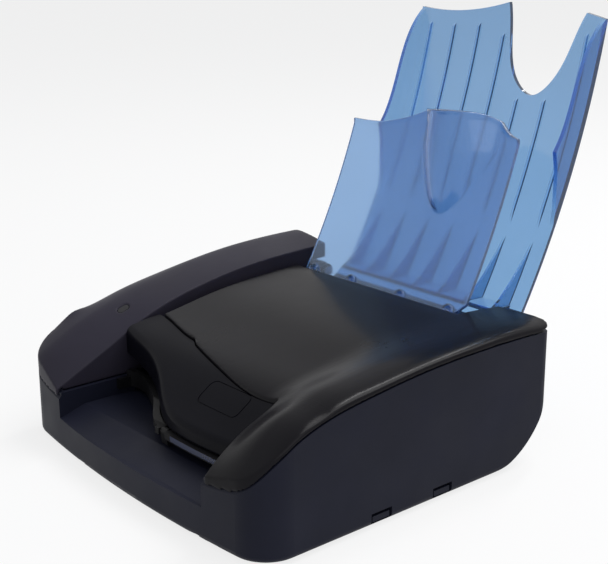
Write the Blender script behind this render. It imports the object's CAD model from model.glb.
import math

import bpy
import numpy as np
from mathutils import Matrix, Vector
from mathutils.bvhtree import BVHTree


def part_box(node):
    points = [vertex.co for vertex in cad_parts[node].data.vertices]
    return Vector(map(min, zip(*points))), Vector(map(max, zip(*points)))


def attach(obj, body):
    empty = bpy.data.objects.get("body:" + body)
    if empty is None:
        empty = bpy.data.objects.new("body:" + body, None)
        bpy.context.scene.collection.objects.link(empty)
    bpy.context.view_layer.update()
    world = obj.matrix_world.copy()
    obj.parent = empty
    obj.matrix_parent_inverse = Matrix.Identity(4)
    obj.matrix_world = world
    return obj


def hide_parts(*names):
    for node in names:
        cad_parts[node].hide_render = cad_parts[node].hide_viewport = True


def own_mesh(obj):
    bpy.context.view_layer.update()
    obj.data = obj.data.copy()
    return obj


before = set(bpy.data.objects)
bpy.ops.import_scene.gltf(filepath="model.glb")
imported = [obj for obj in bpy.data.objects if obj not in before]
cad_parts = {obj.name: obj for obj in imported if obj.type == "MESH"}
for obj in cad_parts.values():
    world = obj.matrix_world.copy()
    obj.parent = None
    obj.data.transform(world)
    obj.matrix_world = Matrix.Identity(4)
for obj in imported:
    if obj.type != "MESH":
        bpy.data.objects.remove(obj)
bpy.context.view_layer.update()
scene = bpy.context.scene
scene.view_settings.view_transform = "Standard"

# ---------------------------------------------------------------- camera
eye = Vector((0.39856, -0.35773, 0.22512))
right = Vector((0.65037, 0.75961, -0.00329)).normalized()
ahead = Vector((-0.72990, 0.62372, -0.27968)).normalized()
up = right.cross(ahead).normalized()
right = ahead.cross(up).normalized()
camera_data = bpy.data.cameras.new("camera")
camera_data.sensor_width = 36.0
camera_data.lens = 73.05
camera_data.clip_start = 0.01
camera = bpy.data.objects.new("camera", camera_data)
scene.collection.objects.link(camera)
camera.matrix_world = Matrix((
    (right.x, up.x, -ahead.x, eye.x),
    (right.y, up.y, -ahead.y, eye.y),
    (right.z, up.z, -ahead.z, eye.z),
    (0, 0, 0, 1)))
scene.camera = camera


# ---------------------------------------------------------------- materials
noise_low, noise_high = 0.3, 0.7    # stretch of a noise that a variation is spread over
coat_roughness = 0.17
plastic_ior = 1.49


def srgb(r, g, b):
    """Colour from 0-255 display values."""
    out = []
    for value in (r, g, b):
        value /= 255
        out.append(value / 12.92 if value <= 0.04045 else ((value + 0.055) / 1.055) ** 2.4)
    return (*out, 1.0)


def new_material(name):
    """Empty material with its output and shader."""
    material = bpy.data.materials.new(name)
    material.use_nodes = True
    tree = material.node_tree
    shader = tree.nodes["Principled BSDF"]
    return material, tree, shader


def add_bump(tree, shader, scale, strength, distance, detail=2.0):
    """Fine bump from a noise, and the coordinates that it reads."""
    coords = tree.nodes.new("ShaderNodeTexCoord")
    noise = tree.nodes.new("ShaderNodeTexNoise")
    noise.inputs["Scale"].default_value = scale
    noise.inputs["Detail"].default_value = detail
    bump = tree.nodes.new("ShaderNodeBump")
    bump.inputs["Strength"].default_value = strength
    bump.inputs["Distance"].default_value = distance
    tree.links.new(coords.outputs["Object"], noise.inputs["Vector"])
    tree.links.new(noise.outputs["Fac"], bump.inputs["Height"])
    tree.links.new(bump.outputs["Normal"], shader.inputs["Normal"])
    return coords


def vary(tree, shader, coords, socket, low, high, scale):
    """Slow variation of one number over the surface."""
    noise = tree.nodes.new("ShaderNodeTexNoise")
    noise.inputs["Scale"].default_value = scale
    noise.inputs["Detail"].default_value = 3.0
    spread = tree.nodes.new("ShaderNodeMapRange")
    spread.inputs["From Min"].default_value = noise_low
    spread.inputs["From Max"].default_value = noise_high
    spread.inputs["To Min"].default_value = low
    spread.inputs["To Max"].default_value = high
    tree.links.new(coords.outputs["Object"], noise.inputs["Vector"])
    tree.links.new(noise.outputs["Fac"], spread.inputs["Value"])
    tree.links.new(spread.outputs["Result"], shader.inputs[socket])


def tint(tree, shader, coords, dark, light, scale):
    """Slow variation of the base colour."""
    noise = tree.nodes.new("ShaderNodeTexNoise")
    noise.inputs["Scale"].default_value = scale
    noise.inputs["Detail"].default_value = 4.0
    ramp = tree.nodes.new("ShaderNodeValToRGB")
    ramp.color_ramp.elements[0].position = noise_low
    ramp.color_ramp.elements[0].color = dark
    ramp.color_ramp.elements[1].position = noise_high
    ramp.color_ramp.elements[1].color = light
    tree.links.new(coords.outputs["Object"], noise.inputs["Vector"])
    tree.links.new(noise.outputs["Fac"], ramp.inputs["Fac"])
    tree.links.new(ramp.outputs["Color"], shader.inputs["Base Color"])


def plastic(name, dark, light, rough, grain=1500.0, depth=0.00003, strength=0.25, coat=0.0, spread=0.06,
            specular=0.5):
    """Moulded plastic: tinted, with a fine moulded grain."""
    material, tree, shader = new_material(name)
    coords = add_bump(tree, shader, grain, strength, depth)
    vary(tree, shader, coords, "Roughness", rough - spread, rough + spread, scale=40.0)
    tint(tree, shader, coords, dark, light, scale=25.0)
    shader.inputs["Specular IOR Level"].default_value = specular
    shader.inputs["Coat Weight"].default_value = coat
    shader.inputs["Coat Roughness"].default_value = coat_roughness
    return material


def metal(name, dark, light, rough, grain=900.0):
    """Plated or ground metal."""
    material, tree, shader = new_material(name)
    coords = add_bump(tree, shader, grain, strength=0.15, distance=0.00002)
    vary(tree, shader, coords, "Roughness", low=rough - 0.06, high=rough + 0.08, scale=120.0)
    tint(tree, shader, coords, dark, light, scale=60.0)
    shader.inputs["Metallic"].default_value = 1.0
    return material


def clear_blue(name, through, absorb, density, rough, milk=0.0, ripple=0.12):
    """Clear coloured plastic: tinted at its faces, and bluer the longer the way through it."""
    material, tree, shader = new_material(name)
    coords = add_bump(tree, shader, scale=55.0, strength=ripple, distance=0.0004, detail=1.0)
    vary(tree, shader, coords, "Roughness", low=rough, high=rough + 0.06, scale=30.0)
    darker = (*[0.93 * value for value in through], 1)
    tint(tree, shader, coords, darker, (*through, 1), scale=18.0)
    shader.inputs["Transmission Weight"].default_value = 1.0 - milk
    shader.inputs["IOR"].default_value = plastic_ior
    volume = tree.nodes.new("ShaderNodeVolumeAbsorption")
    volume.inputs["Color"].default_value = (*absorb, 1)
    volume.inputs["Density"].default_value = density
    tree.links.new(volume.outputs["Volume"], tree.nodes["Material Output"].inputs["Volume"])
    return material


lid = plastic("lid_gloss", srgb(9, 8, 13), srgb(14, 13, 19), 0.3, grain=300.0, depth=0.00001,
              strength=0.1, coat=0.18, spread=0.03, specular=0.02)
nose = plastic("nose_semi_gloss", srgb(8, 8, 14), srgb(12, 12, 19), 0.4, grain=2200.0, strength=0.12,
               spread=0.04, coat=0.08, specular=0.02)
rail = plastic("rail_satin", srgb(38, 36, 46), srgb(44, 42, 53), 0.45, grain=2600.0, strength=0.2,
               specular=0.1)
shell = plastic("shell_matt", srgb(19, 21, 33), srgb(24, 26, 40), 0.5, grain=2400.0, strength=0.3,
                specular=0.12)
inner = plastic("inner_black", srgb(8, 8, 10), srgb(13, 13, 16), 0.5, specular=0.18)
rubber = plastic("rubber", srgb(22, 22, 23), srgb(34, 34, 35), 0.8, grain=900.0, strength=0.5,
                 depth=0.00008, specular=0.25)
roller = plastic("roller_rubber", srgb(60, 60, 64), srgb(74, 74, 78), 0.72, grain=1400.0, strength=0.5,
                 depth=0.00006, specular=0.3)
acetal = plastic("acetal", srgb(205, 203, 194), srgb(222, 220, 212), 0.38)
cable = plastic("flat_cable", srgb(198, 198, 190), srgb(214, 214, 208), 0.4)
board = plastic("board_green", srgb(14, 62, 34), srgb(24, 84, 48), 0.35, grain=700.0)
chips = plastic("chip_black", srgb(24, 24, 26), srgb(34, 34, 36), 0.55)
socket_white = plastic("socket_shell", srgb(150, 152, 155), srgb(170, 172, 176), 0.3)
steel = metal("steel", srgb(150, 151, 154), srgb(176, 177, 180), 0.3)
zinc = metal("zinc_plate", srgb(160, 162, 166), srgb(190, 191, 194), 0.34)
bronze = metal("bronze", srgb(150, 112, 62), srgb(178, 138, 84), 0.42)
cast = metal("motor_case", srgb(120, 121, 124), srgb(146, 147, 150), 0.45)
magnet = metal("magnet", srgb(110, 110, 114), srgb(132, 132, 136), 0.28)
panel_rear = clear_blue("panel_blue_rear", (0.33, 0.52, 0.72), (0.0, 0.42, 0.86), 180.0, rough=0.04,
                        milk=0.06)
panel_front = clear_blue("panel_blue_front", (0.42, 0.61, 0.84), (0.0, 0.42, 0.88), 150.0, rough=0.08,
                         milk=0.14, ripple=0.05)
light_bar = clear_blue("light_bar_blue", (0.03, 0.05, 0.14), (0.0, 0.3, 0.8), 120.0, rough=0.25,
                       milk=0.5)
lens = plastic("status_lens", srgb(26, 26, 29), srgb(36, 36, 40), 0.25, coat=0.25, specular=0.1)
glass = clear_blue("sensor_glass", (0.85, 0.95, 0.92), (0.5, 0.95, 0.9), 60.0, rough=0.02)

finishes = {
    "base_shell": shell, "bottom_plate": shell, "rubber_feet": rubber, "housing_screws": zinc,
    "side_housing": rail, "status_lens": lens, "top_cover": lid, "front_bezel": nose, "entry_throat": inner,
    "entry_light_bar": light_bar, "entry_flag": inner, "track_frame": inner, "frame_screws": zinc,
    "shaft_bushes": bronze, "feed_shaft": steel, "exit_shaft": steel, "feed_tyres": roller,
    "exit_tyres": roller,
    "feed_pulley": acetal, "exit_pulley": acetal, "motor_pulley": bronze, "drive_belt": rubber,
    "motor_shaft": steel, "drive_motor": cast, "motor_bracket": zinc, "motor_screws": zinc,
    "lower_sensor_bar": chips, "lower_sensor_glass": glass, "upper_sensor_bar": chips,
    "upper_sensor_glass": glass, "micr_magnet": magnet, "micr_head": steel, "micr_spring": steel,
    "upper_guide": inner, "guide_screws": zinc, "feed_pinch_axle": steel, "exit_pinch_axle": steel,
    "feed_pinch_rollers": acetal, "exit_pinch_rollers": acetal, "pinch_springs": steel, "hinge_pins": steel,
    "main_board": board, "board_components": chips, "board_screws": zinc, "usb_socket": socket_white,
    "power_socket": chips, "sensor_ribbon": cable, "rear_pocket_panel": panel_rear,
    "front_pocket_panel": panel_front,
}
for node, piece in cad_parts.items():
    for place in piece.material_slots:
        place.material = finishes[node]


# ---------------------------------------------------------------- faired cover and rail
half_width = 0.0885         # half width of the body
fair_cell = 0.001           # spacing of the height samples
fair_reach = 0.024          # half length of the stretch that each height is faired over
fair_most = 0.0016          # most that a height moves
fair_voxel = 0.00045        # grain of the remeshed copies
fair_passes = 3             # times that the moves are evened out across X
fair_fade = 8               # cells from an edge over which the move fades out
fair_step = 0.002           # a larger step between two cells ends the stretch
fair_fewest = 6             # a stretch of fewer cells stays as it is
fair_deep, fair_blend = 0.008, 0.004    # depth under the top where moves end, and over which they fade
fair_side = 0.005           # distance from the outer sides over which moves fade
ray_start = 0.01            # height above the piece from which it is sampled


def mesh_piece(name, verts, faces, material):
    """Smooth-shaded mesh object with one material."""
    mesh = bpy.data.meshes.new(name)
    mesh.from_pydata(verts, [], faces)
    mesh.materials.append(material)
    mesh.polygons.foreach_set("use_smooth", [True] * len(mesh.polygons))
    mesh.update()
    piece = bpy.data.objects.new(name, mesh)
    scene.collection.objects.link(piece)
    return piece


def heights_above(mesh, low, high):
    """Height of the top surface over a grid of cells, and nan where there is none."""
    tree = BVHTree.FromPolygons([v.co for v in mesh.vertices], [p.vertices for p in mesh.polygons])
    xs = np.arange(low[0] + fair_cell / 2, high[0], fair_cell)
    ys = np.arange(low[1] + fair_cell / 2, high[1], fair_cell)
    heights = np.full((len(xs), len(ys)), np.nan)
    for column, x in enumerate(xs):
        for row, y in enumerate(ys):
            hit = tree.ray_cast(Vector((x, y, high[2] + ray_start)), Vector((0, 0, -1)))[0]
            if hit is not None:
                heights[column, row] = hit.z
    return xs, ys, heights


def faired_moves(heights):
    """Move of each height onto a smooth curve fitted to its neighbours along Y."""
    span = int(fair_reach / fair_cell)
    moves = np.zeros_like(heights)
    for column in range(heights.shape[0]):
        line = heights[column]
        for row in range(len(line)):
            if np.isnan(line[row]):
                continue
            first, last = row, row
            while first > max(row - span, 0) and abs(line[first - 1] - line[first]) < fair_step:
                first -= 1
            while last < min(row + span, len(line) - 1) and abs(line[last + 1] - line[last]) < fair_step:
                last += 1
            if last - first < fair_fewest:
                continue
            offsets = np.arange(first, last + 1) - row
            weights = np.exp(-(offsets / (span / 2)) ** 2)
            fit = np.polyfit(offsets, line[first:last + 1], 2, w=weights)
            fade = min(row - first, last - row, fair_fade) / fair_fade
            moves[column, row] = np.clip(fit[2] - line[row], -fair_most, fair_most) * fade
    for _ in range(fair_passes):
        moves[1:-1] = (moves[:-2] + 2 * moves[1:-1] + moves[2:]) / 4
    return moves


def cell_numbers(values, cells):
    """Number of the cell that each value lies in."""
    return np.clip(((values - cells[0]) / fair_cell).round().astype(int), 0, len(cells) - 1)


def node_copy(node, name, material):
    """Mesh object with the shape of a CAD node."""
    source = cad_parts[node].data
    verts = [v.co[:] for v in source.vertices]
    return mesh_piece(name, verts, [tuple(p.vertices) for p in source.polygons], material)


def faired_copy(node, material):
    """Copy of a moulded shell with rounded edges and an even top surface."""
    low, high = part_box(node)
    piece = node_copy(node, node + "_faired", material)
    cells = piece.modifiers.new("cells", "REMESH")
    cells.mode = "VOXEL"
    cells.voxel_size = fair_voxel
    soft = piece.modifiers.new("soft", "SMOOTH")
    soft.factor = 0.5
    soft.iterations = 9
    result = piece.evaluated_get(bpy.context.evaluated_depsgraph_get())
    done = bpy.data.meshes.new_from_object(result)
    piece.modifiers.clear()
    piece.data = done
    xs, ys, heights = heights_above(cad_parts[node].data, low, high)
    moves = faired_moves(heights)
    points = np.empty(len(done.vertices) * 3)
    done.vertices.foreach_get("co", points)
    points = points.reshape(-1, 3)
    columns, rows = cell_numbers(points[:, 0], xs), cell_numbers(points[:, 1], ys)
    depth = np.nan_to_num(heights[columns, rows] - points[:, 2], nan=1.0)
    share = np.clip((fair_deep - depth) / fair_blend, 0, 1)
    share *= np.clip((half_width - np.abs(points[:, 0])) / fair_side, 0, 1)
    points[:, 2] += moves[columns, rows] * share
    points = np.clip(points, np.array(low), np.array(high))
    done.vertices.foreach_set("co", points.ravel())
    done.polygons.foreach_set("use_smooth", [True] * len(done.polygons))
    done.materials.clear()
    done.materials.append(material)
    done.update()
    return piece


for node, material, body in (("top_cover", lid, "cover"), ("side_housing", rail, "base")):
    shell_piece = faired_copy(node, material)
    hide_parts(node)
    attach(shell_piece, body)


# ---------------------------------------------------------------- front pocket panel
bend_radius = 0.400         # side-view bend of both pocket panels
bend_top = 0.261            # height of the bend's centre
bend_reach = -0.31878       # Y of that centre, for the front panel's face
panel_thickness = 0.002
panel_crown = [(-0.0505, 0.1320), (-0.0400, 0.1320), (-0.0296, 0.1327), (-0.0180, 0.1353),
               (-0.0089, 0.1382), (-0.0020, 0.1410), (0.0060, 0.1432), (0.0140, 0.1442),
               (0.0220, 0.1448), (0.0310, 0.1448), (0.0370, 0.1436), (0.0410, 0.1410),
               (0.0445, 0.1382), (0.0485, 0.1356), (0.0515, 0.1346), (0.0535, 0.1342)]
panel_columns, panel_rows = 131, 101
panel_low = 0.0566          # foot of the panel
foot_cuts = (0.004, 0.008)  # corners cut off the foot, left and right
scoop_middle, scoop_half, scoop_depth = 0.0200, 0.0215, 0.0185
scoop_low, scoop_full, scoop_high = 0.0975, 0.127, 0.145     # its tip, its full width, its full depth
scoop_rise = 0.7            # how early the scoop deepens above its tip
scoop_floor, scoop_flank = 2.4, 1.2     # how flat its middle is, and how soft its sides are
tab_places = (-0.045, -0.018, 0.015, 0.045)
tab_level = 0.0602          # middle of the foot tabs
bead, bead_width = 0.0009, 0.0016   # rolled bead along the crown


def smooth_line(points, x):
    """Height of a line through points at x, without corners."""
    last = len(points) - 1
    place = next((i for i in range(last) if x <= points[i + 1][0]), last - 1)
    (x1, z1), (x2, z2) = points[place], points[place + 1]
    before, after = points[max(place - 1, 0)], points[min(place + 2, last)]
    start = (z2 - before[1]) / (x2 - before[0]) * (x2 - x1)
    end = (after[1] - z1) / (after[0] - x1) * (x2 - x1)
    t = min(max((x - x1) / (x2 - x1), 0.0), 1.0)
    return ((2 * t**3 - 3 * t**2 + 1) * z1 + (t**3 - 2 * t**2 + t) * start
            + (3 * t**2 - 2 * t**3) * z2 + (t**3 - t**2) * end)


def panel_face_y(z):
    """Y of the front panel's face at one height."""
    return bend_reach + math.sqrt(bend_radius**2 - (bend_top - z) ** 2)


def scoop(x, z):
    """How far the thumb scoop stands forward of the panel's face."""
    rise = (z - scoop_low) / (scoop_full - scoop_low)
    if rise <= 0:
        return 0.0
    half = scoop_half * math.sqrt(min(rise, 1.0))
    across = abs(x - scoop_middle) / half
    if across >= 1:
        return 0.0
    depth = scoop_depth * min(((z - scoop_low) / (scoop_high - scoop_low)) ** scoop_rise, 1.0)
    return depth * (1 - across**scoop_floor) ** scoop_flank


def foot_line(x, left, right):
    """Height of the panel's foot at x, with its two cut corners."""
    return panel_low + max(0.0, left + foot_cuts[0] - x, x - right + foot_cuts[1])


def grid_faces(columns, rows):
    """Quads of a grid whose vertices run column by column."""
    return [(c * rows + r, (c + 1) * rows + r, (c + 1) * rows + r + 1, c * rows + r + 1)
            for c in range(columns - 1) for r in range(rows - 1)]


def front_panel():
    """Front panel of the pocket, with its crown, thumb scoop and rounded rim."""
    left, right = panel_crown[0][0], panel_crown[-1][0]
    verts = []
    for column in range(panel_columns):
        x = left + (right - left) * column / (panel_columns - 1)
        low, high = foot_line(x, left, right), smooth_line(panel_crown, x)
        for row in range(panel_rows):
            z = low + (high - low) * row / (panel_rows - 1)
            lip = bead * math.exp(-((high - z) / bead_width) ** 2)
            verts.append((x, panel_face_y(z) - scoop(x, z) - lip, z))
    faces = grid_faces(panel_columns, panel_rows)
    piece = mesh_piece("front_panel_sheet", verts, faces, panel_front)
    sheet = piece.modifiers.new("thickness", "SOLIDIFY")
    sheet.thickness = panel_thickness
    sheet.offset = -1.0
    rim = piece.modifiers.new("rim", "BEVEL")
    rim.width = 0.0007
    rim.segments = 3
    rim.limit_method = "ANGLE"
    rim.angle_limit = math.radians(50)
    return piece


def foot_tab(number, x):
    """Round foot tab with a raised rim on both faces, turned from pairs of radius and height."""
    profile = [(0.0, 0.0012), (0.0019, 0.0012), (0.0022, 0.0017), (0.0027, 0.0018), (0.0031, 0.0015),
               (0.0032, 0.0010)]
    profile += [(radius, -out) for radius, out in reversed(profile)]
    turns = 40
    slope = (bend_top - tab_level) / math.sqrt(bend_radius**2 - (bend_top - tab_level) ** 2)
    across = Vector((1, 0, 0))
    along = Vector((0, slope, 1)).normalized()
    out = along.cross(across)
    middle = Vector((x, panel_face_y(tab_level) + panel_thickness / 2, tab_level))
    verts = [middle + across * (radius * math.cos(turn * math.tau / turns))
             + along * (radius * math.sin(turn * math.tau / turns)) + out * height
             for turn in range(turns) for radius, height in profile[1:-1]]
    rows = len(profile) - 2
    faces = []
    for turn in range(turns):
        here, there = turn * rows, ((turn + 1) % turns) * rows
        for row in range(rows - 1):
            faces.append((here + row, there + row, there + row + 1, here + row + 1))
    faces.append([turn * rows for turn in reversed(range(turns))])
    faces.append([turn * rows + rows - 1 for turn in range(turns)])
    return mesh_piece(f"front_panel_tab_{number}", verts, faces, panel_front)


panel_pieces = [front_panel(), *[foot_tab(number, x) for number, x in enumerate(tab_places, 1)]]
for piece in panel_pieces:
    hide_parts("front_pocket_panel")
    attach(piece, "cover")


# ---------------------------------------------------------------- spring over the reading head
spring = node_copy("micr_spring", "micr_spring_sleeve", steel)
# share of the spring's length that is left when the head is up
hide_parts("micr_spring")
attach(spring, "cover")
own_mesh(spring)


# ---------------------------------------------------------------- floor and light
def outline_only(tree, shaded, flat, keep):
    """White in the picture and in reflections by the share keep, and as shaded for all other light."""
    path = tree.nodes.new("ShaderNodeLightPath")
    first = tree.nodes.new("ShaderNodeMath")
    first.operation = "MAXIMUM"
    second = tree.nodes.new("ShaderNodeMath")
    second.operation = "MAXIMUM"
    share = tree.nodes.new("ShaderNodeMath")
    share.operation = "MULTIPLY"
    share.inputs[1].default_value = keep
    mix = tree.nodes.new("ShaderNodeMixShader")
    tree.links.new(path.outputs["Is Camera Ray"], first.inputs[0])
    tree.links.new(path.outputs["Is Glossy Ray"], first.inputs[1])
    tree.links.new(first.outputs[0], second.inputs[0])
    tree.links.new(path.outputs["Is Transmission Ray"], second.inputs[1])
    tree.links.new(second.outputs[0], share.inputs[0])
    tree.links.new(share.outputs[0], mix.inputs[0])
    tree.links.new(shaded.outputs[0], mix.inputs[1])
    tree.links.new(flat.outputs[0], mix.inputs[2])
    return mix


floor_mesh = bpy.data.meshes.new("floor")
floor_half = 6.0
floor_corners = [(x * floor_half, y * floor_half, 0) for x, y in ((-1, -1), (1, -1), (1, 1), (-1, 1))]
floor_mesh.from_pydata(floor_corners, [], [(0, 1, 2, 3)])
floor = bpy.data.objects.new("floor", floor_mesh)
scene.collection.objects.link(floor)
floor_material, floor_tree, floor_shader = new_material("floor_paper")
floor_shader.inputs["Base Color"].default_value = (0.86, 0.86, 0.87, 1)
floor_shader.inputs["Roughness"].default_value = 0.9
floor_shader.inputs["Specular IOR Level"].default_value = 0.0
floor_flat = floor_tree.nodes.new("ShaderNodeEmission")
floor_flat.inputs["Strength"].default_value = 1.0
floor_mix = outline_only(floor_tree, floor_shader, floor_flat, keep=0.8)
floor_tree.links.new(floor_mix.outputs[0], floor_tree.nodes["Material Output"].inputs["Surface"])
floor_mesh.materials.append(floor_material)

world = bpy.data.worlds.new("studio")
scene.world = world
world.use_nodes = True
sky = world.node_tree
for old in list(sky.nodes):
    sky.nodes.remove(old)
sky_out = sky.nodes.new("ShaderNodeOutputWorld")
sky_light = sky.nodes.new("ShaderNodeBackground")
sky_light.inputs["Color"].default_value = (0.95, 0.97, 1.0, 1)
sky_light.inputs["Strength"].default_value = 0.36
sky_white = sky.nodes.new("ShaderNodeBackground")
sky_white.inputs["Color"].default_value = (1, 1, 1, 1)
sky_white.inputs["Strength"].default_value = 1.0
sky_mix = outline_only(sky, sky_light, sky_white, keep=1.0)
sky.links.new(sky_mix.outputs[0], sky_out.inputs["Surface"])


def lamp(name, place, target, width, height, power):
    """Soft rectangular lamp."""
    data = bpy.data.lights.new(name, "AREA")
    data.shape = "RECTANGLE"
    data.size = width
    data.size_y = height
    data.energy = power
    holder = bpy.data.objects.new(name, data)
    scene.collection.objects.link(holder)
    holder.location = place
    aim = Vector(target) - Vector(place)
    holder.rotation_euler = aim.to_track_quat("-Z", "Y").to_euler()


lamp("key", (0.25, 0.5, 1.25), (0, 0, 0.05), 0.9, 0.9, 10.0)
lamp("fill", (1.1, -0.2, 0.7), (0, 0, 0.05), 1.5, 1.5, 5.5)
lamp("strip", (-0.12, 0.55, 0.9), (0.08, 0, 0.05), 0.08, 0.7, 2.2)
